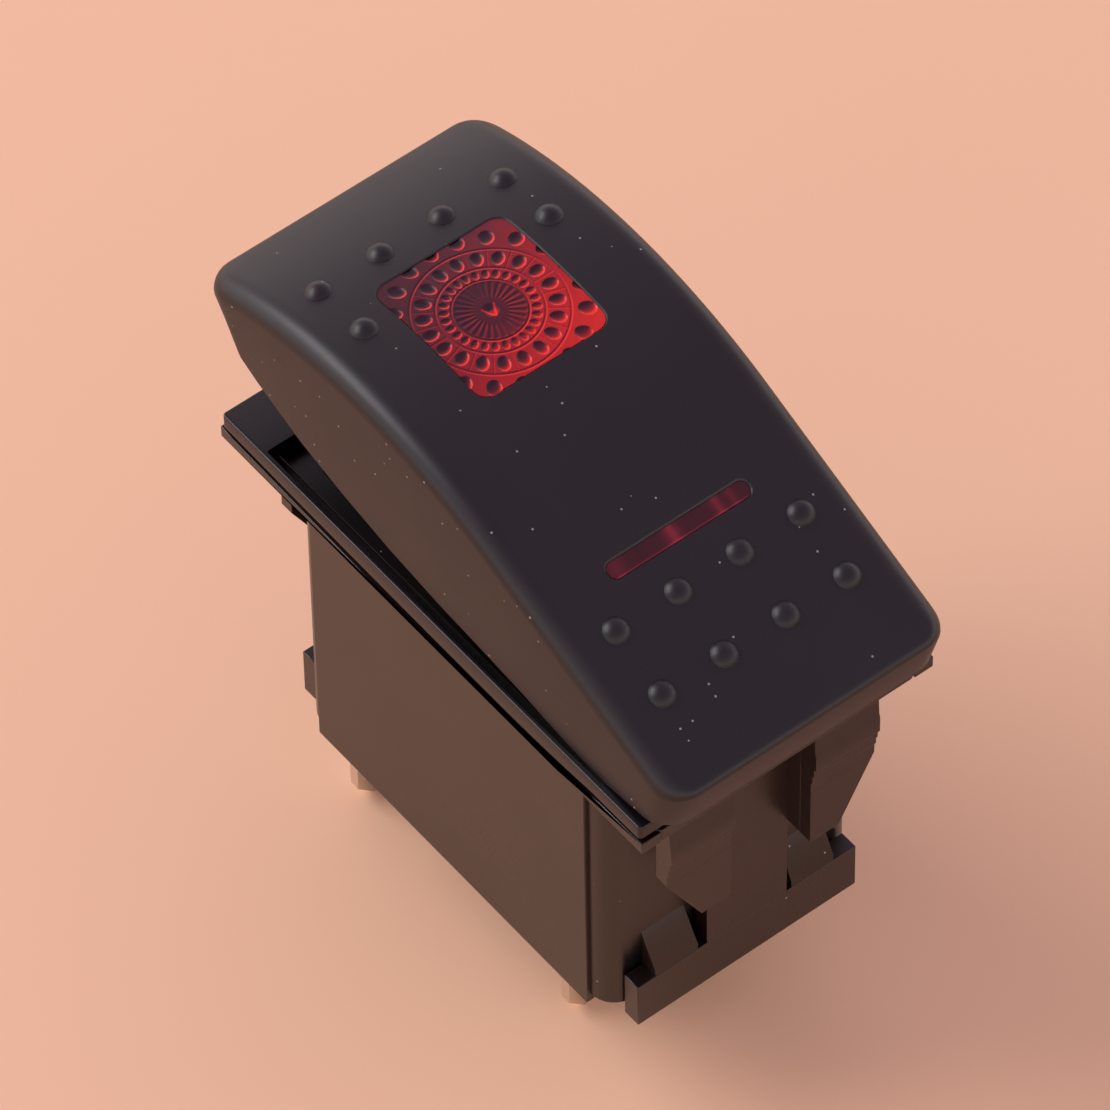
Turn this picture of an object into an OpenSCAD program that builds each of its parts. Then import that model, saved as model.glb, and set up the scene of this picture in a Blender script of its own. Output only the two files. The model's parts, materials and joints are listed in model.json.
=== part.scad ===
// Panel rocker switch, two positions, with two lit windows in its rocker.
// X is the width, Y the length (+Y is the end with the square window), Z comes out of the panel.
// The origin is the middle of the flange's underside, the face that seats on the panel.

/* [Flange] */
// Length of the flange on the panel
flange_len = 42.8; // [40:0.1:46]
// Width of the flange on the panel
flange_w = 23.6; // [23:0.1:26]
// Thickness of the housing's own flange
flange_t = 1.1; // [0.8:0.1:1.6]
// Height of the bezel ring above the housing's flange
ring_t = 1.3; // [1:0.1:2]
// Width of the bezel's thin rim along each long side
rim_w = 0.45; // [0.4:0.05:0.6]
// Length of the bezel's flat plate at each end
end_plate = 5; // [4:0.1:6]
// Height of the dark groove between the ring and the housing
groove_h = 0.4; // [0.2:0.1:0.6]

/* [Housing] */
// Width over the two flat side panels
body_w = 20.9; // [20:0.1:21.4]
// Length over the end walls
body_len = 31.3; // [31:0.1:33]
// Depth of the body behind the panel
body_h = 24.7; // [24:0.1:30]
// Thickness of the body's walls
wall = 1.2; // [1:0.1:1.4]
// Radius of the body's four upright corners
corner_r = 2; // [1:0.1:2.5]
// How far the flat side panels stand proud of the corners
panel_proud = 0.3; // [0.2:0.05:0.5]
// Length of each flat side panel
side_panel_len = 27.4; // [24:0.1:28]
// Thickness of the plate that closes the bottom and holds the terminals
base_t = 1.6; // [1.2:0.1:2]

/* [Snap wings] */
// Width of each snap wing
wing_w = 16.6; // [14:0.1:18]
// Thickness of each snap wing
wing_t = 1.8; // [1.4:0.1:2]
// Outer face of the wing at its teeth, from the middle
wing_y = 20.3; // [19.8:0.1:20.6]
// Gap between the wing's top and the flange
wing_gap = 0.4; // [0.3:0.1:0.8]
// Width of the neck that the wing bends at
neck_w = 6.8; // [5:0.1:7.4]
// Width of the cross bar at the foot of the wing
bar_w = 18; // [17:0.1:19]
// Height of the cross bar
bar_h = 3.9; // [3:0.1:5]
// Thickness of the cross bar
bar_t = 1.2; // [1:0.1:1.6]
// Outer face of the cross bar, from the middle
bar_y = 17.2; // [17:0.1:17.6]
// Width of each of the two ramps that carry the bar
ramp_w = 3.3; // [2.5:0.1:3.5]

/* [Rocker] */
// Width of the rocker cap
cap_w = 22.2; // [22:0.1:22.2]
// Length of the rocker cap
cap_len = 47; // [46.6:0.1:47.4]
// Radius of the cap's long upper edges
cap_edge_r = 1.8; // [1:0.1:2.2]
// Wall thickness of the cap
cap_wall = 1.4; // [1.2:0.1:1.6]
// Slope of the cap's flat near half
cap_slope = 13.9; // [12.5:0.1:15]
// Radius of the cap's arched far half
cap_arc_r = 36.6; // [35:0.1:40]
// Height of the pivot above the panel seat
pivot_z = 5.5; // [5.4:0.1:5.8]
// Tilt of the rocker each way from level
tilt = 7.5; // [6.5:0.1:7.5]
// Diameter of the rocker's trunnions
trunnion_d = 3; // [2.6:0.1:3.2]
// Clearance of turning and sliding fits, on the diameter
fit = 0.2; // [0.1:0.05:0.3]

/* [Windows] */
// Width of the square window
window_w = 9.7; // [8:0.1:11]
// Length of the square window
window_len = 10.8; // [9:0.1:11.4]
// Middle of the square window from the pivot
window_y = 9.2; // [8.8:0.1:9.6]
// Depth of the lenses below the cap's surface
lens_sink = 0.25; // [0.1:0.05:0.5]
// Length of the bar window across the rocker
slot_len = 10.6; // [8:0.1:12]
// Width of the bar window
slot_w = 1.25; // [1:0.05:1.6]
// Place of the bar window from the pivot, towards the near end
slot_y = 9.9; // [9:0.1:10.4]

/* [Grip bumps] */
// Diameter of each grip bump
bump_d = 1.9; // [1.4:0.1:2.2]
// Height of each grip bump
bump_h = 0.5; // [0.3:0.05:0.7]
// Spacing of the bumps in a row
bump_pitch = 4.9; // [4.4:0.1:5]

/* [Mechanism] */
// Side offset of the switching pole from the middle
pole_x = 4.75; // [4.7:0.05:4.8]
// Distance from the pivot to the plunger's tip
plunger_reach = 17.5; // [17:0.1:17.8]
// Diameter of the plunger
plunger_d = 3.3; // [3:0.1:3.4]
// Outer diameter of the plunger's barrel
barrel_d = 5.4; // [5.2:0.1:5.6]
// Travel of the plunger into its barrel
plunger_travel = 0.8; // [0.5:0.1:0.9]
// Wire diameter of the plunger spring
spring_wire = 0.4; // [0.35:0.05:0.45]
// Half angle by which each arm of the moving contact rises
arm_rise = 10; // [9.5:0.5:10.5]
// Tilt of the moving contact each way from level
contact_tilt = 8; // [7:0.5:8]
// Thickness of the moving contact
contact_t = 0.8; // [0.6:0.1:0.9]
// Width of the moving contact
contact_w = 4.6; // [4:0.1:4.8]
// Distance of the contact buttons from the fulcrum
button_y = 8.5; // [8.2:0.1:8.6]
// Diameter of the silver contact buttons
button_d = 3.4; // [3:0.1:3.8]
// Thickness of the silver contact buttons
button_t = 0.8; // [0.6:0.1:0.9]

/* [Terminals] */
// Width of the terminal blades
blade_w = 6.3; // [6:0.1:6.4]
// Thickness of the terminal blades
blade_t = 0.8; // [0.7:0.1:0.9]
// Length of the blades below the body
blade_len = 9; // [8:0.1:10]
// Diameter of the hole in each blade
blade_hole_d = 1.7; // [1.4:0.1:2]
// Distance of the hole from the blade's tip
blade_hole_up = 4; // [3.5:0.1:4.5]
// Place of the far pair of lamp terminals along the body
lamp_row_y = 13.9; // [13.8:0.05:13.95]

/* [Lamps] */
// Diameter of each lamp's lens
led_d = 3; // [2.8:0.1:3.4]
// Height of each lamp above its seat
led_h = 5.3; // [4.5:0.1:5.6]
// Distance of the lamps from the middle
led_y = 11; // [10.6:0.1:11.2]
// Diameter of the lamps' wires
lead_d = 0.5; // [0.4:0.05:0.6]
// Height of the lamp carrier's upper face
lamp_seat_z = -6; // [-6.2:0.1:-5.8]

/* [Hidden] */
$fn = 48;
over = 0.01;                                  // how far a cutter runs past a face

// housing
main_w = body_w - 2 * panel_proud;
cavity_w = main_w - 2 * wall;
cavity_len = body_len - 2 * wall;
cavity_r = 0.8;
floor_z = -body_h + base_t;                   // upper face of the terminal base
relief_w = 10.2;                              // shallow channel behind each wing
relief_depth = 0.5;
ear_t = 1.4;                                  // thickness of the two pivot ears
ear_w = 5.4;
ear_x = cavity_w / 2 - ear_t;                 // inner face of an ear
bar_top = -body_h + bar_h;
neck_z = -15;                                 // where the wing has narrowed to its neck
shoulder_z = -7.9;                            // where the wing starts to narrow

// bezel
ring_z = flange_t;
ring_top = ring_z + ring_t;
opening_w = flange_w - 2 * rim_w;
opening_len = flange_len - 2 * end_plate;
clip_w = 5;                                   // clips that hold the ring to the housing's flange
clip_t = 1;
clip_y = body_len / 2 + 0.7;

// rocker, in its own level frame with the pivot at the origin
crown_y = -5.35;                              // where the flat half meets the arched half
crown_z = 9.65;
crown_slope = cap_slope + 1;                  // slope of the arch there
arc_y = crown_y + cap_arc_r * sin(crown_slope);
arc_z = crown_z - cap_arc_r * cos(crown_slope);
arc_sweep = 46;                               // how far the arch runs past its crown
near_end = -cap_len / 2;
far_end = cap_len / 2;
keel_y = -2.25;                               // lowest point of the cap's side walls
keel_z = -3.92;
keel_r = 130;                                 // the far half of the lower edge is an arc
keel_slope = 6.6;                             // its slope at the keel
keel_c = [keel_y - keel_r * sin(keel_slope), keel_z + keel_r * cos(keel_slope)];
near_foot = [near_end + 0.7, 0.75];           // lower edge of the near end wall
// centres of the end fillets, and where they meet the upper face
near_c = [near_end + cap_edge_r,
          flat_z(near_end + cap_edge_r) - cap_edge_r / cos(cap_slope)];
near_t = near_c + cap_edge_r * [-sin(cap_slope), cos(cap_slope)];
far_c = [far_end - cap_edge_r,
         arc_z + sqrt(pow(cap_arc_r - cap_edge_r, 2) - pow(far_end - cap_edge_r - arc_y, 2))];
far_t = far_c + cap_edge_r * (far_c - [arc_y, arc_z]) / norm(far_c - [arc_y, arc_z]);
roof_t = 1.6;                                 // thickness of the cap under its upper face
collar_z = 5.8;                               // lower end of the collars under the windows
hub_d = 6;
trunnion_x = ear_x + ear_t + 0.2;             // how far the trunnions reach
barrel_end = 13;                              // the barrel's mouth below the pivot
barrel_top = 3.5;                             // the closed end of its bore
cap_side = cap_w / 2;
web_t = 2.4;

// mechanism
blade_x = [-pole_x, pole_x];
tip_z = pivot_z - plunger_reach;              // lowest place of the plunger's tip
tip_gap = 0.12;                               // air under the plunger's tip
vee_z = tip_z - tip_gap - contact_t;          // underside of the moving contact at its vee
knife_r = 0.4;                                // round edge that the moving contact rocks on
arm_len = 9.6;
button_gap = 0.05;                            // air left between the closed buttons
closed_rise = arm_rise - contact_tilt;        // slope of the arm that is down
fixed_top_z = vee_z + button_y * tan(closed_rise) - button_t - button_gap;
prong_h = 1.4;
spring_od = 2.6;
spring_turns = 7;
cup_depth = 4.6;                              // spring pocket in the plunger
cup_d = spring_od + 0.2;
plunger_top = 8;                              // upper end of the plunger below the pivot
shoulder_w = 7.4;                             // terminals rest on shoulders on the base
lamp_terminal_top = -18.3;
contact_row_y = -button_y;

// lamps
carrier_t = 1.5;
pin_pitch = 2.54;
bulkhead_t = 1;                               // wall between the contacts and the lamps
wire_z = -10;                                 // level at which the wires cross
low_wire_z = -17;
resistor_d = 1.8;
resistor_len = 4.5;

// ---------- shared shapes ----------

// upright block with rounded corners, standing on z = 0
module rounded_block(w, l, h, r) {
    linear_extrude(h) rounded_plan(w, l, r);
}

module rounded_plan(w, l, r) {
    square([w - 2 * r, l], center = true);
    square([w, l - 2 * r], center = true);
    for (sx = [-1, 1], sy = [-1, 1])
        translate([sx * (w / 2 - r), sy * (l / 2 - r)]) circle(r);
}

// a YZ outline pulled out along X to width w, centred
module side_profile(w, points) {
    translate([-w / 2, 0, 0]) rotate([90, 0, 90]) linear_extrude(w) polygon(points);
}

// an XZ outline pulled out along Y between y0 and y1
module front_profile(y0, y1, points) {
    translate([0, y1, 0]) rotate([90, 0, 0]) linear_extrude(y1 - y0) polygon(points);
}

module box(low, high) {
    translate(low) cube(high - low);
}

module rod_x(d, x0, x1) {
    translate([x0, 0, 0]) rotate([0, 90, 0]) cylinder(d = d, h = x1 - x0);
}

// a bent wire: straight runs along the axes with a ball at each bend
module wire(points, d) {
    for (i = [0 : len(points) - 2]) {
        run = points[i + 1] - points[i];
        translate(points[i])
            rotate([0, acos(run.z / norm(run)), atan2(run.y, run.x)])
                cylinder(d = d, h = norm(run), $fn = 16);
    }
    for (i = [1 : len(points) - 2]) translate(points[i]) sphere(d = d, $fn = 16);
}

// puts a piece of the rocker, drawn level about its pivot, where the pressed near end holds it
module rocker_place() {
    translate([0, 0, pivot_z]) rotate([tilt, 0, 0]) children();
}

// ---------- housing ----------

module ramp(x0) {
    wall_y = body_len / 2 - relief_depth - over;
    bar_back = bar_y - bar_t;
    translate([x0 + ramp_w / 2, 0, 0])
        side_profile(ramp_w, [[wall_y, bar_top + 2.1], [bar_back + over, bar_top + 0.4],
                              [bar_back + over, -body_h], [wall_y, -body_h]]);
}

// the wing's side outline: leaning arm, small steps that grip the panel, plain back
module wing_side() {
    top = -wing_gap;
    side_profile(wing_w, [[wing_y - 0.25, top], [wing_y - 0.1, -3.4], [wing_y, -3.8], [wing_y, -5.2],
        [wing_y - 0.2, -5.3], [wing_y - 0.2, -6], [wing_y - 0.4, -6.1], [wing_y - 0.4, -6.8],
        [wing_y - 0.6, -6.9], [bar_y, bar_top + 1], [bar_y, bar_top - over],
        [bar_y - bar_t, bar_top - over], [wing_y - wing_t - 0.2, shoulder_z],
        [wing_y - wing_t, top]]);
}

// the wing's front outline: wide at the teeth, tapering to the neck
module wing_front() {
    half = wing_w / 2;
    neck = neck_w / 2;
    front_profile(body_len / 2, flange_len / 2, [[-half, -wing_gap], [half, -wing_gap],
        [half, shoulder_z], [neck + 1.3, neck_z], [neck + 0.3, neck_z], [neck, bar_top - over],
        [-neck, bar_top - over], [-neck - 0.3, neck_z], [-neck - 1.3, neck_z],
        [-half, shoulder_z]]);
}

module wing() {
    difference() {
        intersection() { wing_side(); wing_front(); }
        // three short slits in the upper edge and two shallow flutes down the face
        for (x = [-wing_w / 2 + 0.5, -2.6, 4.8])
            box([x - 0.15, wing_y - 0.7, -3.4], [x + 0.15, wing_y + 1, 0]);
        for (f = [[-4, 0.8], [1.4, 1.5]])
            side_flute(f[0], f[1]);
    }
    box([-bar_w / 2, bar_y - bar_t, -body_h], [bar_w / 2, bar_y, bar_top]);
    for (x = [-ramp_w - 3.9, 3.9]) ramp(x);
}

// a shallow upright channel in the wing's leaning face
module side_flute(x, w) {
    depth = 0.2;
    translate([x, 0, 0])
        side_profile(w, [[wing_y - 0.6 - depth, -7], [wing_y - 0.6 + 1, -7],
                         [bar_y + 1, bar_top + 2], [bar_y + 0.2 - depth, bar_top + 2]]);
}

// relief behind the wing and the dark pockets beside the ramps, in the +Y end wall
module end_wall_cuts() {
    y0 = body_len / 2 - relief_depth;
    box([-relief_w / 2, y0, bar_top + 2.1], [relief_w / 2, y0 + 1, -over]);
    box([-9.2, y0, -body_h - over], [9.2, y0 + 1, bar_top + 2.1]);
}

module ear() {
    difference() {
        union() {
            box([ear_x, -ear_w / 2, -4], [ear_x + ear_t + over, ear_w / 2, pivot_z]);
            translate([0, 0, pivot_z]) rod_x(ear_w, ear_x, ear_x + ear_t);
        }
        translate([0, 0, pivot_z]) rod_x(trunnion_d + fit, ear_x - over, ear_x + ear_t + 1);
    }
}

module base_housing() color([0.16, 0.13, 0.12]) {
    difference() {
        union() {
            translate([0, 0, -body_h]) rounded_block(main_w, body_len, body_h + over, corner_r);
            box([-body_w / 2, -side_panel_len / 2, -body_h], [body_w / 2, side_panel_len / 2, over]);
            rounded_block(flange_w, flange_len, flange_t, 0.6);
        }
        translate([0, 0, -body_h - over])
            rounded_block(cavity_w, cavity_len, body_h + flange_t + 2 * over, cavity_r);
        for (m = [0, 1]) mirror([0, m, 0]) {
            end_wall_cuts();
            // slot for the bezel's clip
            box([-clip_w / 2 - 0.1, clip_y - 0.1, -over], [clip_w / 2 + 0.1, clip_y + clip_t + 0.1, 2]);
        }
    }
    for (m = [0, 1]) mirror([0, m, 0]) {
        wing();
        // ledge that the lamp carrier rests on
        box([-cavity_w / 2 - over, cavity_len / 2 - 1, lamp_seat_z - carrier_t - 1.5],
            [-1, cavity_len / 2 + over, lamp_seat_z - carrier_t]);
    }
    for (m = [0, 1]) mirror([m, 0, 0]) ear();
}

module terminal_base() color([0.2, 0.17, 0.15]) difference() {
    union() {
        translate([0, 0, -body_h]) rounded_block(cavity_w, cavity_len, base_t, cavity_r);
        // bulkhead between the switching side and the lamp side
        box([-bulkhead_t / 2, -cavity_len / 2 + 1.5, floor_z - over], [bulkhead_t / 2, 10, -14]);
        // post that the open contact's arm comes to rest on
        translate([pole_x, button_y, floor_z - over])
            cylinder(d = 3, h = vee_z + button_y * tan(closed_rise) - 0.05 - floor_z + over);
    }
    for (place = terminal_places()) blade_slot(place);
}

function terminal_places() = [[pole_x, 0], [pole_x, contact_row_y], [-pole_x, contact_row_y],
                              [-pole_x, lamp_row_y], [pole_x, lamp_row_y]];

module blade_slot(place) {
    box([place.x - blade_w / 2, place.y - blade_t / 2, -body_h - over],
        [place.x + blade_w / 2, place.y + blade_t / 2, floor_z + over]);
}

module bezel_frame() color([0.17, 0.16, 0.18]) {
    difference() {
        union() {
            translate([0, 0, ring_z + groove_h])
                rounded_block(flange_w, flange_len, ring_t - groove_h, 0.6);
            translate([0, 0, ring_z])
                rounded_block(flange_w - 0.5, flange_len - 0.5, groove_h + over, 0.4);
        }
        box([-opening_w / 2, -opening_len / 2, ring_z - over],
            [opening_w / 2, opening_len / 2, ring_top + over]);
    }
    // clips that pass through the flange and hook under it
    for (m = [0, 1]) mirror([0, m, 0])
        side_profile(clip_w, [[clip_y, ring_z + over], [clip_y + clip_t, ring_z + over],
            [clip_y + clip_t, -0.05], [clip_y + clip_t + 0.4, -0.05], [clip_y + clip_t + 0.4, -0.3],
            [clip_y + clip_t, -0.9], [clip_y, -0.9]]);
}

// ---------- rocker ----------

// cross section of the cap: radius_top is the outer arc's radius, r rounds the long edges
module cap_section(half, radius_top, r) {
    translate([radius_top - 20, -half]) square([20 - r, 2 * half]);
    translate([radius_top - r - over, -half + r]) square([r + over, 2 * half - 2 * r]);
    for (s = [-1, 1]) translate([radius_top - r, s * (half - r)]) circle(r);
}

// everything below the cap's upper face: an arched far part and a straight near part
module cap_form(inset, half, r) {
    meet = 0.6;                               // the two parts run this far into each other
    translate([0, arc_y, arc_z]) rotate([90, 0, 90]) rotate([0, 0, 90 - arc_sweep])
        rotate_extrude(angle = arc_sweep + crown_slope + 1.2, $fn = 144)
            cap_section(half, cap_arc_r - inset, r);
    translate([0, crown_y, crown_z]) rotate([90, 0, 90]) rotate([0, 0, 90 + cap_slope])
        rotate([-90, 0, 0]) translate([0, 0, -meet])
            linear_extrude(24) cap_section(half, -inset, r);
}

// side outline of the cap: rounded upper ends, leaning end walls and the bent lower edge
module cap_side_outline() {
    // the far half of the lower edge is one long arc
    keel = [for (i = [0 : 8]) keel_point(keel_y + (far_end - 0.1 - keel_y) * i / 8)];
    polygon(concat([[far_end, far_c.y], far_c, far_t, [far_t.x, 20], [near_t.x, 20], near_t,
                    near_c, [near_end, near_c.y], near_foot], keel));
    for (c = [near_c, far_c]) translate(c) circle(cap_edge_r);
}

function keel_point(y) =
    [y, keel_c.y - sqrt(pow(keel_r, 2) - pow(y - keel_c.x, 2))];

module cap_solid() {
    intersection() {
        cap_form(0, cap_side, cap_edge_r);
        translate([0, 0, -10]) rounded_block(cap_w, cap_len, 40, 1.4);
        translate([-cap_side, 0, 0]) rotate([90, 0, 90]) linear_extrude(cap_w) cap_side_outline();
    }
}

// the hollow under the cap, open below; its roof follows the upper face
module cap_hollow() {
    near = near_end + cap_wall;
    far = far_end - cap_wall;
    roof = [for (i = [0 : 12]) let (y = far - 0.8 - i / 12 * (far - near - 1.6))
            [y, surface_z(y) - roof_t]];
    side_profile(cap_w - 2 * cap_wall, concat([[near_foot.x + cap_wall, -12], [far - 0.1, -12],
        [far, far_c.y - 0.2]], roof, [[near, near_c.y - 0.2], [near_foot.x + cap_wall, near_foot.y]]));
}

// a strip with round ends
module strip_plan(l, w) {
    square([l - w, w], center = true);
    for (sx = [-1, 1]) translate([sx * (l - w) / 2, 0]) circle(d = w);
}

module window_plan(grow = 0) {
    translate([0, window_y]) rounded_plan(window_w + grow, window_len + grow, 0.9);
}

module slot_plan(grow = 0) {
    translate([0, -slot_y]) strip_plan(slot_len + grow, slot_w + grow);
}

function flat_z(y) = crown_z + (y - crown_y) * tan(cap_slope);
function arch_z(y) = arc_z + sqrt(pow(cap_arc_r, 2) - pow(y - arc_y, 2));

module bumps() {
    sphere_r = (pow(bump_d / 2, 2) + pow(bump_h, 2)) / (2 * bump_h);
    // rows near each end; the row beside the square window has only its outer two
    for (row = [[17.5, 0], [12.7, 1], [-13.2, 0], [-18, 0]], i = [-1.5 : 1 : 1.5])
        if (row[1] == 0 || abs(i) > 1)
            translate([i * bump_pitch, row[0], surface_z(row[0]) - sphere_r + bump_h])
                sphere(sphere_r, $fn = 16);
}

function surface_z(y) = y < crown_y ? flat_z(y) : arch_z(y);

module rocker_cap() color([0.2, 0.18, 0.21]) rocker_place() {
    difference() {
        union() {
            cap_solid();
            bumps();
        }
        difference() {
            cap_hollow();
            // collars under the two windows give the lenses a wall to sit in
            translate([0, 0, collar_z]) linear_extrude(10) {
                window_plan(2);
                slot_plan(2);
            }
        }
        translate([0, 0, collar_z - 1]) linear_extrude(12) {
            window_plan();
            slot_plan();
        }
    }
}

module upper_lens() color([0.62, 0.06, 0.07]) rocker_place() intersection() {
    translate([0, 0, collar_z + 1]) linear_extrude(6) window_plan();
    cap_form(lens_sink, cap_side, 0.6);
}

module lower_lens() color([0.38, 0.05, 0.08]) rocker_place() intersection() {
    translate([0, 0, collar_z + 0.5]) linear_extrude(6) slot_plan();
    cap_form(lens_sink, cap_side, 0.6);
}

module rocker_carrier() color([0.24, 0.22, 0.2]) rocker_place() {
    hub = ear_x - 0.3;
    difference() {
        union() {
            rod_x(hub_d, -hub, hub);
            rod_x(trunnion_d, -trunnion_x, trunnion_x);
            // the web that carries the cap reaches up to the underside of its roof
            intersection() {
                box([-hub, -web_t / 2, 0], [hub, web_t / 2, 12]);
                cap_hollow();
            }
            translate([pole_x, 0, -barrel_end]) cylinder(d = barrel_d, h = barrel_end);
        }
        translate([pole_x, 0, -barrel_end - over])
            cylinder(d = plunger_d + fit, h = barrel_end - barrel_top + over);
    }
}

module contact_plunger() color([0.86, 0.84, 0.78]) rocker_place() {
    r = plunger_d / 2;
    translate([pole_x, 0, -plunger_reach]) difference() {
        union() {
            translate([0, 0, r]) sphere(r);
            translate([0, 0, r]) cylinder(r = r, h = plunger_reach - plunger_top - r);
        }
        translate([0, 0, plunger_reach - plunger_top - cup_depth])
            cylinder(d = cup_d, h = cup_depth + over);
    }
}

// closed tube swept along a helix
module spring(od, wire_d, turns, length) {
    sides = 8;
    steps = 14 * turns;
    mid_r = (od - wire_d) / 2;
    rise = length - wire_d;
    points = [for (i = [0 : steps], k = [0 : sides - 1])
        let (a = 360 * turns * i / steps, b = 360 * k / sides, q = mid_r + wire_d / 2 * cos(b))
        [q * cos(a), q * sin(a), wire_d / 2 + rise * i / steps + wire_d / 2 * sin(b)]];
    sides_faces = [for (i = [0 : steps - 1], k = [0 : sides - 1])
        let (n = (k + 1) % sides)
        [i * sides + k, (i + 1) * sides + k, (i + 1) * sides + n, i * sides + n]];
    polyhedron(points, concat(sides_faces, [[for (k = [0 : sides - 1]) k]],
        [[for (k = [sides - 1 : -1 : 0]) steps * sides + k]]), convexity = 10);
}

module plunger_spring() color([0.75, 0.75, 0.78]) rocker_place() {
    seat = -plunger_top - cup_depth;
    translate([pole_x, 0, seat + 0.02])
        spring(spring_od, spring_wire, spring_turns, -barrel_top - seat - 0.04);
}

// ---------- contacts ----------

// the moving contact turns about the foot of its vee; open side up while the near end is pressed
module contact_place() {
    translate([pole_x, 0, vee_z]) rotate([-contact_tilt, 0, 0]) children();
}

module moving_contact() color([0.78, 0.6, 0.3]) contact_place() {
    r = arm_len * cos(arm_rise);
    h = arm_len * sin(arm_rise);
    t = contact_t / cos(arm_rise);
    difference() {
        side_profile(contact_w, [[0, 0], [r, h], [r, h + t], [0, t], [-r, h + t], [-r, h]]);
        // groove that sits on the round edge of the fulcrum
        rod_x(2 * (knife_r + 0.04), -contact_w, contact_w);
    }
}

module moving_contact_button() color([0.85, 0.86, 0.88]) contact_place() {
    rotate([-arm_rise, 0, 0]) translate([0, -button_y, -button_t])
        cylinder(d = button_d, h = button_t);
}

// a blade in the XZ plane with a chamfered tip, a hole and shoulders that seat on the base
module blade(top_z) {
    tip = -body_h - blade_len;
    half = blade_w / 2;
    wide = shoulder_w / 2;
    difference() {
        front_profile(-blade_t / 2, blade_t / 2, [[-half + 1.2, tip], [half - 1.2, tip],
            [half, tip + 1.2], [half, floor_z], [wide, floor_z], [wide, top_z], [-wide, top_z],
            [-wide, floor_z], [-half, floor_z], [-half, tip + 1.2]]);
        translate([0, 0, tip + blade_hole_up]) rotate([90, 0, 0])
            cylinder(d = blade_hole_d, h = 2 * blade_t, center = true);
    }
}

module fulcrum_terminal() color([0.8, 0.74, 0.62]) translate([pole_x, 0, 0]) {
    blade(vee_z - 0.1);
    translate([0, 0, vee_z]) rod_x(2 * knife_r, -contact_w / 2, contact_w / 2);
    // two prongs keep the moving contact from wandering sideways
    for (s = [-1, 1]) {
        x0 = contact_w / 2 + 0.15;
        mirror([s < 0 ? 1 : 0, 0, 0])
            box([x0, -blade_t / 2, vee_z - 0.1 - over],
                [shoulder_w / 2, blade_t / 2, vee_z + prong_h]);
    }
}

module load_terminal() color([0.8, 0.74, 0.62]) translate([pole_x, contact_row_y, 0]) {
    top = fixed_top_z - button_t;
    blade(top - over);
    box([-shoulder_w / 2, -2.2, top - blade_t], [shoulder_w / 2, 2.2, top]);
}

module fixed_contact_button() color([0.85, 0.86, 0.88])
    translate([pole_x, contact_row_y, fixed_top_z - button_t])
        cylinder(d = button_d, h = button_t);

module lamp_terminal(x, y) {
    color([0.8, 0.78, 0.74]) translate([x, y, 0]) blade(lamp_terminal_top);
}

module far_left_lamp_terminal() lamp_terminal(-pole_x, lamp_row_y);
module far_right_lamp_terminal() lamp_terminal(pole_x, lamp_row_y);
module near_lamp_terminal() lamp_terminal(-pole_x, contact_row_y);

// ---------- lamps ----------

outer_lead_x = -pole_x - pin_pitch / 2;
inner_lead_x = -pole_x + pin_pitch / 2;
carrier_z = lamp_seat_z - carrier_t;

module lamp_carrier() color([0.72, 0.7, 0.66]) difference() {
    union() {
        intersection() {
            translate([0, 0, carrier_z])
                rounded_block(cavity_w - 0.1, cavity_len - 0.1, carrier_t, cavity_r);
            box([-cavity_w, -cavity_len, carrier_z - 1], [-bulkhead_t / 2, cavity_len, 0]);
        }
        // raised collar round each lamp
        for (s = [-1, 1]) translate([-pole_x, s * led_y, lamp_seat_z - over])
            cylinder(d = led_d + 2.8, h = 1.6);
    }
    for (s = [-1, 1]) {
        translate([-pole_x, s * led_y, lamp_seat_z]) cylinder(d = led_d + 1, h = 3);
        for (x = [outer_lead_x, inner_lead_x])
            translate([x, s * led_y, carrier_z - over]) cylinder(d = lead_d + 0.3, h = 3, $fn = 16);
    }
}

module led(y) {
    translate([-pole_x, y, lamp_seat_z]) {
        cylinder(d = led_d + 0.8, h = 0.9);
        cylinder(d = led_d, h = led_h - led_d / 2);
        translate([0, 0, led_h - led_d / 2]) sphere(d = led_d);
    }
}

module upper_led() color([0.85, 0.35, 0.33]) {
    led(led_y);
    wire([[outer_lead_x, led_y, lamp_seat_z + over], [outer_lead_x, led_y, low_wire_z],
          [outer_lead_x, lamp_row_y, low_wire_z], [outer_lead_x, lamp_row_y, lamp_terminal_top]],
         lead_d);
    wire([[inner_lead_x, led_y, lamp_seat_z + over], [inner_lead_x, led_y, wire_z + lead_d]], lead_d);
}

module lower_led() color([0.85, 0.35, 0.33]) {
    led(-led_y);
    wire([[outer_lead_x, -led_y, lamp_seat_z + over], [outer_lead_x, -led_y, low_wire_z],
          [outer_lead_x, contact_row_y, low_wire_z], [outer_lead_x, contact_row_y, lamp_terminal_top]],
         lead_d);
    wire([[inner_lead_x, -led_y, lamp_seat_z + over], [inner_lead_x, -led_y, wire_z + lead_d]], lead_d);
}

// a resistor lies along the wire between two lamps' leads
module upper_resistor() color([0.8, 0.7, 0.5]) {
    y = led_y + 0;
    translate([0, y, wire_z]) rod_x(resistor_d, -resistor_len / 2, resistor_len / 2);
    wire([[inner_lead_x - lead_d / 2, y, wire_z], [-resistor_len / 2 + over, y, wire_z]], lead_d);
    wire([[resistor_len / 2 - over, y, wire_z], [pole_x, y, wire_z], [pole_x, y, low_wire_z],
          [pole_x, lamp_row_y, low_wire_z], [pole_x, lamp_row_y, lamp_terminal_top]], lead_d);
}

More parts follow.
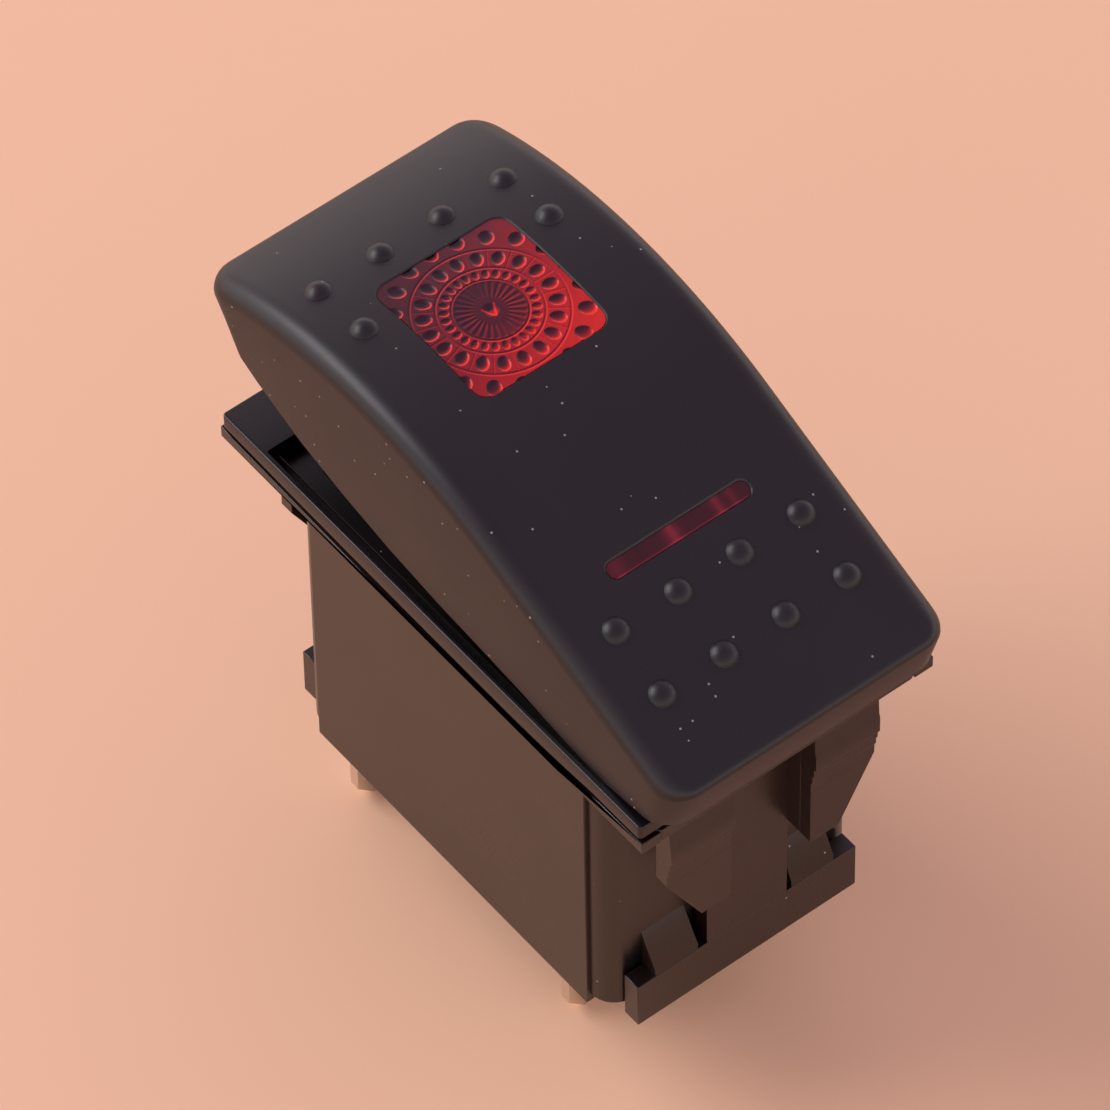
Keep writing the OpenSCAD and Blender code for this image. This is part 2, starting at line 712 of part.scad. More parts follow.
module lower_resistor() color([0.8, 0.7, 0.5]) {
    translate([inner_lead_x, 0, wire_z]) {
        rotate([90, 0, 0]) cylinder(d = resistor_d, h = resistor_len, center = true);
        for (s = [-1, 1])
            wire([[0, s * (resistor_len / 2 - over), 0],
                  [0, s * led_y - (s > 0 ? lead_d / 2 : -lead_d / 2) * 1.1, 0]], lead_d);
    }
}

base_housing();
terminal_base();
bezel_frame();
rocker_cap();
rocker_carrier();
upper_lens();
lower_lens();
contact_plunger();
plunger_spring();
moving_contact();
moving_contact_button();
fulcrum_terminal();
load_terminal();
fixed_contact_button();
far_left_lamp_terminal();
far_right_lamp_terminal();
near_lamp_terminal();
lamp_carrier();
upper_led();
lower_led();
upper_resistor();
lower_resistor();
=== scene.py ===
# %% [markdown]
# # A panel rocker switch, dressed for its portrait
#
# The switch is already built to size: a frame file holds its housing, bezel, rocker, lenses, contacts and blades.
# This lesson gives those pieces their finishes and draws the outer mouldings and the lenses again, finer than the
# frame holds them. Lengths are typed in millimetres and built in metres, and z = 0 is the face that seats on the panel.

# %% Open the frame
import bmesh
import bpy
import json
import numpy as np
from mathutils import Matrix, Vector


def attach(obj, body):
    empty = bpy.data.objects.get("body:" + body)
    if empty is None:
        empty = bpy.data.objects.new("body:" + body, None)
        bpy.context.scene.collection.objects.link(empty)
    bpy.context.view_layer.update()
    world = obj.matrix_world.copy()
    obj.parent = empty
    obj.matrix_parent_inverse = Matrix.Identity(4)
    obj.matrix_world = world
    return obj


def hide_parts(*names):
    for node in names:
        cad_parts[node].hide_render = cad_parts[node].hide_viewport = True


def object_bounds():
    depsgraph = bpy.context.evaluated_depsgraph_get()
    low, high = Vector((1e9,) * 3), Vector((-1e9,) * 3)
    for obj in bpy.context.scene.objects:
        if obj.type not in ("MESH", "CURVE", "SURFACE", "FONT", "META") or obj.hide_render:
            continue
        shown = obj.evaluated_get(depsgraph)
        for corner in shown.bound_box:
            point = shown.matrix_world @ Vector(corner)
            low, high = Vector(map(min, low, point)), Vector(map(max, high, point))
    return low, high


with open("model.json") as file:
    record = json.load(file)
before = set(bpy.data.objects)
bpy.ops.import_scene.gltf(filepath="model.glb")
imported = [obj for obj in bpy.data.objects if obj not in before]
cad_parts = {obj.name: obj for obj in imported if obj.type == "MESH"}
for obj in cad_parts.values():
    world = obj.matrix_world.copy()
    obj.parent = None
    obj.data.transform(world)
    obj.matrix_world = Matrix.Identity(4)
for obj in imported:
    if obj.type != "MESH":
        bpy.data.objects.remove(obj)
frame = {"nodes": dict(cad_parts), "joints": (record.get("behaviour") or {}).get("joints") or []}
cad_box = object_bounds()
MM = 0.001

# %% [markdown]
# ## Where the rocker stands
#
# The rocker is easiest to draw level, with its pivot at the origin. On the switch its near end is pressed, so
# everything drawn that way is turned about the pivot. The turn is read from the frame's own joint, not typed twice.

# %% The rocker's place
hinge = [j for j in frame["joints"] if j["name"] == "rocker_tilt"][0]
PIVOT = np.array(hinge["pos_m"])
TILT = np.radians(hinge["range_deg"][1] / 2)


def on_rocker(points):
    """Turns level rocker points about X by the rest tilt t and lifts them to the pivot.

    y' = y cos t - z sin t, z' = y sin t + z cos t.
    """
    c, s = np.cos(TILT), np.sin(TILT)
    x, y, z = points[..., 0], points[..., 1], points[..., 2]
    return np.stack([x, y * c - z * s, y * s + z * c], axis=-1) + PIVOT


print("pivot", PIVOT, "rest tilt", round(float(np.degrees(TILT)), 2), "degrees")

# %% [markdown]
# ## Writing shader maths as sums
#
# A finish is a formula: grain times strength, plus a few specks of dust. Wiring Math nodes by hand hides the
# formula, so a small class wraps a socket and lets Python's own signs add the nodes. Any other node comes from
# one method, which takes the node's settings first and then what goes into its sockets.


# %% A socket that can be added and multiplied
class Wire:
    """One output socket in a material; arithmetic on it adds Math nodes."""

    def __init__(self, tree, socket):
        self.tree, self.socket = tree, socket

    def math(self, operation, a, b=0.0):
        return node(self.tree, "ShaderNodeMath", {"operation": operation}, {0: a, 1: b})

    def __add__(self, o): return self.math("ADD", self, o)
    def __radd__(self, o): return self.math("ADD", o, self)
    def __sub__(self, o): return self.math("SUBTRACT", self, o)
    def __mul__(self, o): return self.math("MULTIPLY", self, o)
    def __rmul__(self, o): return self.math("MULTIPLY", o, self)
    def __abs__(self): return self.math("ABSOLUTE", self)
    def above(self, o): return self.math("GREATER_THAN", self, o)
    def below(self, o): return self.math("LESS_THAN", self, o)


def node(tree, kind, settings=None, inputs=None, out=0):
    """Adds a node: settings first, then values or wires into its sockets, and returns one output."""
    n = tree.nodes.new(kind)
    for key, value in (settings or {}).items():
        if key == "stops":
            ramp = n.color_ramp
            while len(ramp.elements) < len(value):
                ramp.elements.new(0.5)
            for stop, (place, colour) in zip(ramp.elements, value):
                stop.position, stop.color = place, colour
        else:
            setattr(n, key, value)
    for key, value in (inputs or {}).items():
        if isinstance(value, Wire):
            tree.links.new(value.socket, n.inputs[key])
        else:
            n.inputs[key].default_value = value
    return Wire(tree, n.outputs[out])


def finish(name, **sockets):
    """A new material with plain values on its Principled shader; returns it, its tree and the shader."""
    m = bpy.data.materials.new(name)
    m.use_nodes = True
    tree = m.node_tree
    shader = tree.nodes["Principled BSDF"]
    for key, value in sockets.items():
        shader.inputs[key.replace("_", " ").title().replace("Ior", "IOR")].default_value = value
    return m, tree, shader


def feed(tree, shader, socket, wire):
    tree.links.new(wire.socket, shader.inputs[socket])


def place(tree, scale=(1, 1, 1), turn=(0, 0, 0)):
    """Object coordinates in millimetres, stretched and turned by a Mapping node."""
    coordinates = node(tree, "ShaderNodeTexCoord", out="Object")
    return node(tree, "ShaderNodeMapping", {"vector_type": "TEXTURE"},
                {"Vector": coordinates, "Scale": tuple(MM / s for s in scale), "Rotation": turn})


def cloud(tree, vector, scale, detail=3.0, rough=0.5):
    """Soft noise from 0 to 1; the scale is in turns per millimetre."""
    return node(tree, "ShaderNodeTexNoise", {},
                {"Vector": vector, "Scale": scale, "Detail": detail, "Roughness": rough})


def blend_colour(tree, factor, a, b):
    """Colour a where the factor is 0, colour b where it is 1."""
    return node(tree, "ShaderNodeMix", {"data_type": "RGBA"}, {0: factor, 6: a, 7: b}, out=2)


def fine_bump(tree, shader, height, strength, depth):
    """Tilts the shader's normal by a height; the depth is in metres."""
    bump = node(tree, "ShaderNodeBump", {}, {"Strength": strength, "Distance": depth, "Height": height})
    feed(tree, shader, "Normal", bump)


print("helpers ready")

# %% [markdown]
# ## The camera
#
# The switch is seen from its near left corner, from a little above 50 degrees, through a long lens. The distance and
# the focal length go together: a long lens from far away keeps opposite edges almost parallel.

# %% The camera
AZIMUTH, ELEVATION, ROLL = np.radians([-37.623, 51.648, -1.105])
TARGET, DISTANCE = np.array([0.606, 2.734, -3.7]) * MM, 0.63587
back = np.array([np.sin(AZIMUTH) * np.cos(ELEVATION),
                 -np.cos(AZIMUTH) * np.cos(ELEVATION),
                 np.sin(ELEVATION)])
right = np.array([np.cos(AZIMUTH), np.sin(AZIMUTH), 0.0])
up = np.cross(back, right)
right, up = np.cos(ROLL) * right + np.sin(ROLL) * up, -np.sin(ROLL) * right + np.cos(ROLL) * up
lens = bpy.data.cameras.new("camera")
lens.lens, lens.sensor_width = 323.78, 36.0
lens.clip_start, lens.clip_end = 0.01, 20.0
camera = bpy.data.objects.new("camera", lens)
bpy.context.scene.collection.objects.link(camera)
placed = np.column_stack([right, up, back, TARGET + back * DISTANCE])
camera.matrix_world = Matrix([[*row] for row in placed] + [[0, 0, 0, 1]])
bpy.context.scene.camera = camera
print("camera at", [round(float(v), 3) for v in TARGET + back * DISTANCE])

# %% [markdown]
# ## Floor and light
#
# Black plastic shows mostly what it mirrors, so the floor matters as much as the lamp: a pale peach sheet gives the
# side walls their brown warmth. One broad soft lamp stands behind the far left corner and draws the pale line
# along the rocker's rounded edge. A large flat sheet is enough, as nothing else is in view.

# %% The floor
def sheet_of_floor(size, z):
    mesh = bpy.data.meshes.new("floor")
    corners = [(-size, -size, z), (size, -size, z), (size, size, z), (-size, size, z)]
    mesh.from_pydata(corners, [], [(0, 1, 2, 3)])
    floor = bpy.data.objects.new("floor", mesh)
    bpy.context.scene.collection.objects.link(floor)
    return floor


FLOOR_SIZE, FLOOR_GAP = 1.5, 0.00002     # half the sheet's side, and the room left under the blades
PEACH, PALE_PEACH = (0.890, 0.553, 0.357, 1), (0.918, 0.577, 0.373, 1)
floor = sheet_of_floor(FLOOR_SIZE, cad_box[0][2] - FLOOR_GAP)
peach, tree, shader = finish("peach_card", roughness=0.75, specular_ior_level=0.2)
at = place(tree)
feed(tree, shader, "Base Color", blend_colour(tree, cloud(tree, at, 0.02, 2.0), PEACH, PALE_PEACH))
floor.data.materials.append(peach)

# %% The lamp and the room's own light
def soft_lamp(name, where, towards, size, watts, colour=(1, 1, 1)):
    light = bpy.data.lights.new(name, "AREA")
    light.shape, light.size, light.size_y = "RECTANGLE", *size
    light.energy, light.color = watts, colour
    lamp = bpy.data.objects.new(name, light)
    bpy.context.scene.collection.objects.link(lamp)
    lamp.location = where
    lamp.rotation_euler = (Vector(towards) - Vector(where)).to_track_quat("-Z", "Y").to_euler()
    return lamp


soft_lamp("key", (-0.60, 0.80, 0.85), (0, 0, 0), (1.0, 0.5), 9.0, (1.0, 0.98, 0.99))
world = bpy.data.worlds.new("room")
world.use_nodes = True
sky = world.node_tree
direction = node(sky, "ShaderNodeTexCoord", out="Generated")
height = node(sky, "ShaderNodeSeparateXYZ", {}, {0: direction}, out="Z")
BY_HEIGHT = [(0.0, (1.70, 1.62, 1.62, 1)), (0.22, (1.40, 1.30, 1.32, 1)),
             (0.45, (0.68, 0.56, 0.65, 1)), (1.0, (0.45, 0.35, 0.46, 1))]      # from the horizon to overhead
room_light = node(sky, "ShaderNodeValToRGB", {"stops": BY_HEIGHT}, {"Fac": height}, out="Color")
sky.links.new(room_light.socket, sky.nodes["Background"].inputs["Color"])
sky.nodes["Background"].inputs["Strength"].default_value = 1.0
bpy.context.scene.world = world
bpy.context.scene.view_settings.view_transform = "Standard"

# %% [markdown]
# ## Black plastics
#
# Three mouldings, three blacks. The rocker is satin with a faint violet cast and carries dust; the bezel is the same
# plastic with a harder polish; the housing is glass-filled and browner. The pieces inside are duller. Each gets a
# fine grain for its bump, slow clouds for its gloss and sparse specks, as moulded black plastic is never even.
# Shade is painted in near black by a mask, in the hollows and gaps that little light reaches.


# %% A black moulded plastic
# SPECK is dust on the plastic; UNLIT is the near black in which shade is painted.
SPECK, UNLIT = (0.25, 0.23, 0.24, 1), (0.0015, 0.001, 0.001, 1)


def black_plastic(name, dark, light, rough, grain, dust, gloss=0.3, painted_shade_mask=None):
    """Mottled black; dust is the share of cells that hold a speck, and the optional mask paints near black shade where
    little light reaches.
    """
    m, tree, shader = finish(name, specular_ior_level=gloss)
    at = place(tree)
    slow = cloud(tree, at, 0.12, 3.0)
    fine = cloud(tree, at, 9.0, 4.0, 0.6)
    scatter = {"Vector": at, "Scale": 0.9, "Randomness": 1.0}
    cells = node(tree, "ShaderNodeTexVoronoi", {}, scatter, out="Distance")
    chance = node(tree, "ShaderNodeTexVoronoi", {}, scatter, out="Color")
    lucky = node(tree, "ShaderNodeSeparateColor", {}, {0: chance}).above(1 - dust)
    speck = cells.below(0.07) * lucky
    colour = blend_colour(tree, slow, (*dark, 1), (*light, 1))
    # painted shade: the colour turns near black where the mask is 1
    if painted_shade_mask:
        colour = blend_colour(tree, painted_shade_mask(tree, at), colour, UNLIT)
    feed(tree, shader, "Base Color", blend_colour(tree, speck, colour, SPECK))
    feed(tree, shader, "Roughness", rough + 0.12 * (slow - 0.5) + 0.08 * (fine - 0.5) + 0.3 * speck)
    fine_bump(tree, shader, fine, grain, 0.00004)
    return m


def painted_shade_in_housing(tree, at):
    """Painted shade: 1 inside the housing, under the bezel's arched side and behind the cross bars, and on thin lines
    that stand for the wings' slits, which are not cut.
    """
    x, y, z = (node(tree, "ShaderNodeSeparateXYZ", {}, {0: at}, out=axis) for axis in "XYZ")
    wide, long = abs(x), abs(y)
    inside = wide.below(9.75) * long.below(15.0) * z.above(-24.0)
    mouth = wide.below(10.2) * long.below(17.1) * z.above(0.03)
    gap = wide.above(10.1) * wide.below(11.4) * z.above(0.03) * long.below(17.0)
    pocket = wide.below(9.2) * long.above(15.9) * long.below(16.08) * z.below(-18.4)
    slit = sum(abs(x - at_x).below(0.16) * z.below(high) * z.above(low) * long.above(17.4)
               for at_x, high, low in ((0.0, -7.9, -9.1), (5.3, -3.4, -4.7), (-7.8, -3.1, -4.1)))
    # all painted shade; the pocket and slit lines stand where the moulding has no cut
    dark = inside + mouth + gap + pocket + slit
    return dark.math("MINIMUM", dark, 1.0)


def painted_shade_in_ring_hole(tree, at):
    """Painted shade: 1 on the walls of the bezel's opening, below its upper edge."""
    x, y, z = (node(tree, "ShaderNodeSeparateXYZ", {}, {0: at}, out=axis) for axis in "XYZ")
    return abs(x).below(11.4) * abs(y).below(17.05) * z.below(2.38)


rocker_black = black_plastic("rocker_satin_black", (0.0040, 0.0020, 0.0036), (0.0070, 0.0042, 0.0066),
                             rough=0.40, grain=0.22, dust=0.2, gloss=0.5)
bezel_black = black_plastic("bezel_black", (0.004, 0.003, 0.004), (0.007, 0.005, 0.006),
                            rough=0.26, grain=0.15, dust=0.08, gloss=0.5, painted_shade_mask=painted_shade_in_ring_hole)
housing_black = black_plastic("housing_brown_black", (0.008, 0.0028, 0.0018), (0.013, 0.005, 0.0035),
                              rough=0.30, grain=0.30, dust=0.10, gloss=0.60, painted_shade_mask=painted_shade_in_housing)
inner_black = black_plastic("inner_grey_plastic", (0.004, 0.0035, 0.003), (0.006, 0.005, 0.005),
                            rough=0.55, grain=0.3, dust=0.0)
print("blacks:", rocker_black.name, bezel_black.name, housing_black.name, inner_black.name)

# %% [markdown]
# ## Metals, lamps and small inner parts
#
# The blades are tinned brass strip, rolled along their length, so the grain of the roughness is stretched that way.
# The inner pieces are hidden in use, but they are finished as the real ones are.


# %% Rolled strip
def rolled_metal(name, colour, other, rough, along=(1.0, 1.0, 0.06)):
    m, tree, shader = finish(name, metallic=1.0)
    streak = cloud(tree, place(tree, scale=along), 5.0, 4.0, 0.65)
    stain = cloud(tree, place(tree), 0.5, 3.0)
    feed(tree, shader, "Base Color", blend_colour(tree, stain, (*colour, 1), (*other, 1)))
    feed(tree, shader, "Roughness", rough + 0.25 * (streak - 0.5) + 0.1 * (stain - 0.5))
    fine_bump(tree, shader, streak, 0.15, 0.00003)
    return m


def plain_moulding(name, colour, other, rough, **sockets):
    m, tree, shader = finish(name, **sockets)
    at = place(tree)
    slow, fine = cloud(tree, at, 0.4, 3.0), cloud(tree, at, 8.0, 3.0)
    feed(tree, shader, "Base Color", blend_colour(tree, slow, (*colour, 1), (*other, 1)))
    feed(tree, shader, "Roughness", rough + 0.1 * (fine - 0.5))
    fine_bump(tree, shader, fine, 0.15, 0.00003)
    return m


tinned = rolled_metal("tinned_strip", (0.80, 0.74, 0.66), (0.70, 0.63, 0.54), 0.32)
copper = rolled_metal("copper_strip", (0.78, 0.47, 0.25), (0.68, 0.38, 0.2), 0.35, (0.06, 1.0, 1.0))
silver = rolled_metal("silver_button", (0.86, 0.86, 0.85), (0.78, 0.77, 0.74), 0.28, (1, 1, 1))
wire_steel = rolled_metal("spring_wire", (0.62, 0.61, 0.60), (0.5, 0.49, 0.48), 0.3, (1, 1, 1))
acetal = plain_moulding("natural_acetal", (0.72, 0.70, 0.64), (0.78, 0.76, 0.70), 0.4)
lamp_red = plain_moulding("diffused_lamp_red", (0.62, 0.06, 0.05), (0.70, 0.10, 0.08), 0.25)
lacquer = plain_moulding("resistor_lacquer", (0.60, 0.45, 0.28), (0.66, 0.52, 0.33), 0.3)
print("metals:", tinned.name, copper.name, silver.name, wire_steel.name)

# %% [markdown]
# ## Red lens plastic
#
# The lens is clear red plastic with a moulded jewel pattern. A plain red would look like paint, so light and shade are
# painted into the reds: an attribute on each lens says how bright each wall should look, and a ramp turns that into
# plum, deep red and bright red. A coat stands for the polished face.


# %% Lens finishes
def red_with_painted_light(name, stops, coat):
    """Reds picked by the piece's attribute of painted light and shade, under a polished coat."""
    m, tree, shader = finish(name, roughness=0.40, specular_ior_level=0.2, coat_weight=coat, coat_roughness=0.15)
    # painted light and shade, read from the piece's attribute, with a little random mottle
    glow = node(tree, "ShaderNodeAttribute", {"attribute_name": "glow"}, out="Fac")
    mottled = glow + 0.10 * (cloud(tree, place(tree), 1.5, 2.0) - 0.5)
    reds = node(tree, "ShaderNodeValToRGB", {"stops": stops}, {"Fac": mottled}, out="Color")
    feed(tree, shader, "Base Color", reds)
    return m


# each ramp runs from painted shade in plum and deep red to painted light in bright red
jewel_red = red_with_painted_light("jewel_red", [(0.0, (0.028, 0.007, 0.016, 1)), (0.3, (0.085, 0.010, 0.020, 1)),
                                      (0.6, (0.36, 0.012, 0.018, 1)), (1.0, (0.88, 0.030, 0.022, 1))], 0.12)
bar_red = red_with_painted_light("bar_red", [(0.0, (0.020, 0.006, 0.011, 1)), (0.5, (0.110, 0.010, 0.020, 1)),
                                  (1.0, (0.34, 0.030, 0.045, 1))], 0.15)
print("lens finishes:", jewel_red.name, bar_red.name)

# %% Dress the frame's own pieces
DRESS = {
    "base_housing": housing_black, "terminal_base": housing_black, "bezel_frame": bezel_black,
    "rocker_cap": rocker_black, "rocker_carrier": inner_black, "lamp_carrier": inner_black,
    "contact_plunger": acetal, "plunger_spring": wire_steel, "moving_contact": copper,
    "moving_contact_button": silver, "fixed_contact_button": silver, "fulcrum_terminal": tinned,
    "load_terminal": tinned, "far_left_lamp_terminal": tinned, "far_right_lamp_terminal": tinned,
    "near_lamp_terminal": tinned, "upper_led": lamp_red, "lower_led": lamp_red,
    "upper_resistor": lacquer, "lower_resistor": lacquer, "upper_lens": jewel_red, "lower_lens": bar_red,
}
for name, material in DRESS.items():
    piece = frame["nodes"][name]
    piece.data.materials.clear()
    piece.data.materials.append(material)
print("dressed", len(DRESS), "pieces")

# %% [markdown]
# ## Skins made of loops
#
# The rocker and the bezel are made the same way: a rounded rectangle is drawn as a loop, the loop is moved inwards and
# up by a formula, and each pair of loops is joined by a band of four-sided faces. When the inset reaches the corner
# radius, the loop is a plain rectangle, and a grid fills it. Nothing is sculpted, so a curve is changed by its number.

# %% Loops, bands and grids
ACROSS, ALONG, CORNER = 41, 91, 9        # points on a short side, on a long side and in a corner


def plan_loop(half, near, far, r, inset=0.0, shape=(ACROSS, ALONG, CORNER)):
    """Rounded rectangle, anticlockwise from its near right, with the outward normal of each point.

    In a corner with centre c the points are p = c + q (cos a, sin a), with q = r - inset.
    """
    a, y0, y1, q = half - inset, near + inset, far - inset, max(r - inset, 0.0)
    across, along = np.linspace(-1, 1, shape[0]) * (a - q), np.linspace(y0 + q, y1 - q, shape[1])
    turn = np.linspace(0, np.pi / 2, shape[2])[1:-1]
    points, normals = [], []
    sides = [(np.full_like(along, a), along), (across[::-1], np.full_like(across, y1)),
             (np.full_like(along, -a), along[::-1]), (across, np.full_like(across, y0))]
    corners = [(a - q, y1 - q), (q - a, y1 - q), (q - a, y0 + q), (a - q, y0 + q)]
    for k in range(4):
        n = np.array([np.cos(k * np.pi / 2), np.sin(k * np.pi / 2)]).round(9)
        points.append(np.stack(sides[k], axis=-1))
        normals.append(np.tile(n, (len(sides[k][0]), 1)))
        arc = np.stack([np.cos(turn + k * np.pi / 2), np.sin(turn + k * np.pi / 2)], axis=-1)
        points.append(np.array(corners[k]) + q * arc)
        normals.append(arc)
    return np.concatenate(points), np.concatenate(normals)


def plan_grid(half, near, far, r, shape=(ACROSS, ALONG, CORNER)):
    """The rectangle that is left where the inset equals r, as rows of (x, y)."""
    x, y = np.meshgrid(np.linspace(r - half, half - r, shape[0]), np.linspace(near + r, far - r, shape[1]))
    return np.stack([x, y], axis=-1)


class Skin:
    """Collects bands and grids as points and four-sided faces, then makes one closed piece of them."""

    def __init__(self):
        self.points, self.faces, self.count = [], [], 0

    def add(self, points):
        start = self.count
        self.points.append(points.reshape(-1, 3))
        self.count += len(self.points[-1])
        return start + np.arange(self.count - start)

    def band(self, lower, upper):
        """Quads between two anticlockwise loops; they face outwards where the second is above."""
        a, b = self.add(lower), self.add(upper)
        self.faces.append(np.stack([a, np.roll(a, -1), np.roll(b, -1), b], axis=-1))

    def bands(self, loops):
        for lower, upper in zip(loops[:-1], loops[1:]):
            self.band(lower, upper)

    def grid(self, points, up=True):
        i = self.add(points).reshape(points.shape[:2])
        quads = np.stack([i[:-1, :-1], i[:-1, 1:], i[1:, 1:], i[1:, :-1]], axis=-1).reshape(-1, 4)
        self.faces.append(quads if up else quads[:, ::-1])

    def piece(self, name, sharp=35.0):
        """Merges the seams and shades it smooth between its sharp edges."""
        points, faces = np.concatenate(self.points), np.concatenate(self.faces)
        mesh = bpy.data.meshes.new(name)
        mesh.vertices.add(len(points))
        mesh.vertices.foreach_set("co", np.ascontiguousarray(points, dtype=np.float32).ravel())
        mesh.loops.add(faces.size)
        mesh.loops.foreach_set("vertex_index", faces.astype(np.int32).ravel())
        mesh.polygons.add(len(faces))
        mesh.polygons.foreach_set("loop_start", np.arange(0, faces.size, 4, dtype=np.int32))
        mesh.update(calc_edges=True)
        seams = bmesh.new()
        seams.from_mesh(mesh)
        bmesh.ops.remove_doubles(seams, verts=seams.verts, dist=2e-7)
        bmesh.ops.dissolve_degenerate(seams, edges=seams.edges, dist=1e-7)
        loose = [e for e in seams.edges if not e.is_manifold]
        seams.to_mesh(mesh)
        seams.free()
        mesh.shade_smooth()
        mesh.set_sharp_from_angle(angle=np.radians(sharp))
        made = bpy.data.objects.new(name, mesh)
        bpy.context.scene.collection.objects.link(made)
        print(name, "has", len(mesh.polygons), "faces and", len(loose), "open edges")
        return made


# %% [markdown]
# ## The rocker's cap
#
# Seen from the side, the cap is a straight near half and an arched far half, with a bent keel below. The long edges
# have a rounding of over a millimetre that draws a broad soft highlight, while the ends are almost sharp.

# %% Side view of the cap, level, in millimetres
HALF, NEAR, FAR, PLAN_R = 11.2, -23.7, 24.3, 2.2
SIDE_R, END_R = 1.5, 0.45               # edge rounding along the sides and across the ends
BEND_Y, BEND_Z, SLOPE, ARCH_R = -5.35, 9.40, np.radians(14.4), 37.0
ARCH_Y = BEND_Y + ARCH_R * np.sin(SLOPE + 0.017)
ARCH_Z = BEND_Z - ARCH_R * np.cos(SLOPE + 0.017)
KEEL = np.array([(-23.7, 1.0), (-23.2, 0.8), (-20.81, 0.18), (-16.95, -0.82), (-12.98, -0.98),
                 (-8.95, -0.98), (-4.94, -1.16), (-0.91, -1.40), (4.19, -1.43), (8.83, -1.15),
                 (13.53, -0.56), (18.08, 0.62), (19.57, 1.16), (21.16, 1.7)])
FEET, INNER_FEET = (-23.2, 21.16), (-21.6, 19.6)    # where the end walls stand, outside and inside
WALL_X, WALL_NEAR, WALL_FAR, WALL_UP = 1.3, 1.5, 1.6, 1.6


def roof(y, drop=0.0):
    """Upper face, lowered by drop: straight before the bend and an arc past it.

    z = bz + (y - by) tan s, then z = az + sqrt(R^2 - (y - ay)^2).
    """
    flat = BEND_Z + (y - BEND_Y) * np.tan(SLOPE)
    arch = ARCH_Z + np.sqrt(np.clip(ARCH_R ** 2 - (y - ARCH_Y) ** 2, 0, None))
    return np.where(y < BEND_Y, flat, arch) - drop


def keel(y):
    return np.interp(y, KEEL[:, 0], KEEL[:, 1])


def lean(y, near_foot, far_foot):
    """Moves the foot of the end walls in: y beyond -18 and 16 is squeezed to end at the feet."""
    far = 16 + (y - 16) * (far_foot - 16) / (FAR - 16)
    near = -18 + (y + 18) * (near_foot + 18) / (NEAR + 18)
    return np.where(y > 16, far, np.where(y < -18, near, y))


def lift(plan, z):
    return on_rocker(np.concatenate([plan, z[..., None]], axis=-1) * MM)


def cap_body():
    """Outer skin from the foot up the wall, over the rounding and in to the middle, then the same inside.

    The rounding r = rs nx^2 + re ny^2 goes from the sides' radius rs to the ends' radius re round a corner.
    """
    skin = Skin()
    plan, normal = plan_loop(HALF, NEAR, FAR, PLAN_R)
    r = SIDE_R * normal[:, 0] ** 2 + END_R * normal[:, 1] ** 2
    foot = np.stack([plan[:, 0], lean(plan[:, 1], *FEET)], axis=-1)
    loops = [lift(foot, keel(foot[:, 1]))]
    for bend in np.linspace(0, np.pi / 2, 7):
        at = plan - normal * (r * (1 - np.cos(bend)))[:, None]
        loops.append(lift(at, roof(at[:, 1]) - r * (1 - np.sin(bend))))
    for part in (0.4, 1.0):
        at = plan - normal * (r + (PLAN_R - r) * part)[:, None]
        loops.append(lift(at, roof(at[:, 1])))
    skin.bands(loops)
    middle = plan_grid(HALF, NEAR, FAR, PLAN_R)
    skin.grid(lift(middle, roof(middle[..., 1])))
    room = (HALF - WALL_X, NEAR + WALL_NEAR, FAR - WALL_FAR, 1.7)
    within, _ = plan_loop(*room)
    inner_foot = np.stack([within[:, 0], lean(within[:, 1], *INNER_FEET)], axis=-1)
    rim = lift(inner_foot, keel(inner_foot[:, 1]))
    ledge, _ = plan_loop(*room, inset=room[3])
    skin.bands([lift(ledge, roof(ledge[:, 1], WALL_UP)), lift(within, roof(within[:, 1], WALL_UP)), rim, loops[0]])
    middle = plan_grid(*room)
    skin.grid(lift(middle, roof(middle[..., 1], WALL_UP)), up=False)
    return skin.piece("cap_body")


# %% [markdown]
# ## Windows and bumps
#
# Each window is cut right through the cap with a narrow chamfer round its mouth, which is what catches the light
# along one edge. The grip bumps are shallow domes, square to the face that they stand on.

# %% Cut the two windows
SQUARE = (10.3 / 2, 9.35 - 11.3 / 2, 9.35 + 11.3 / 2, 1.0)      # half width, near end, far end, corner radius
BAR = (11.2 / 2, -9.6 - 1.2 / 2, -9.6 + 1.2 / 2, 0.55)
SMALL = (25, 25, 5)                      # points on a cutter's sides and corners
CUT_FROM, CUT_GROW = 4.0, 0.6            # height where a cutter starts, and how far it flares above the face


def punch(name, window, chamfer=0.10):
    """A cutter with the window's outline, flaring by the chamfer at the face and on upwards at 45 degrees."""
    skin = Skin()
    loops, over = [], chamfer - CUT_GROW
    for grow, drop in ((0, None), (0, chamfer), (chamfer, 0.0), (CUT_GROW, over)):
        plan, _ = plan_loop(*window, inset=-grow, shape=SMALL)
        loops.append(lift(plan, np.full(len(plan), CUT_FROM) if drop is None else roof(plan[:, 1], drop)))
    inner, _ = plan_loop(*window, inset=window[3], shape=SMALL)
    middle = plan_grid(*window, shape=SMALL)
    skin.bands([lift(inner, np.full(len(inner), CUT_FROM))] + loops)
    skin.grid(lift(middle, np.full(middle.shape[:2], CUT_FROM)), up=False)
    skin.band(loops[-1], lift(inner, roof(inner[:, 1], over)))
    skin.grid(lift(middle, roof(middle[..., 1], over)))
    return skin.piece(name)


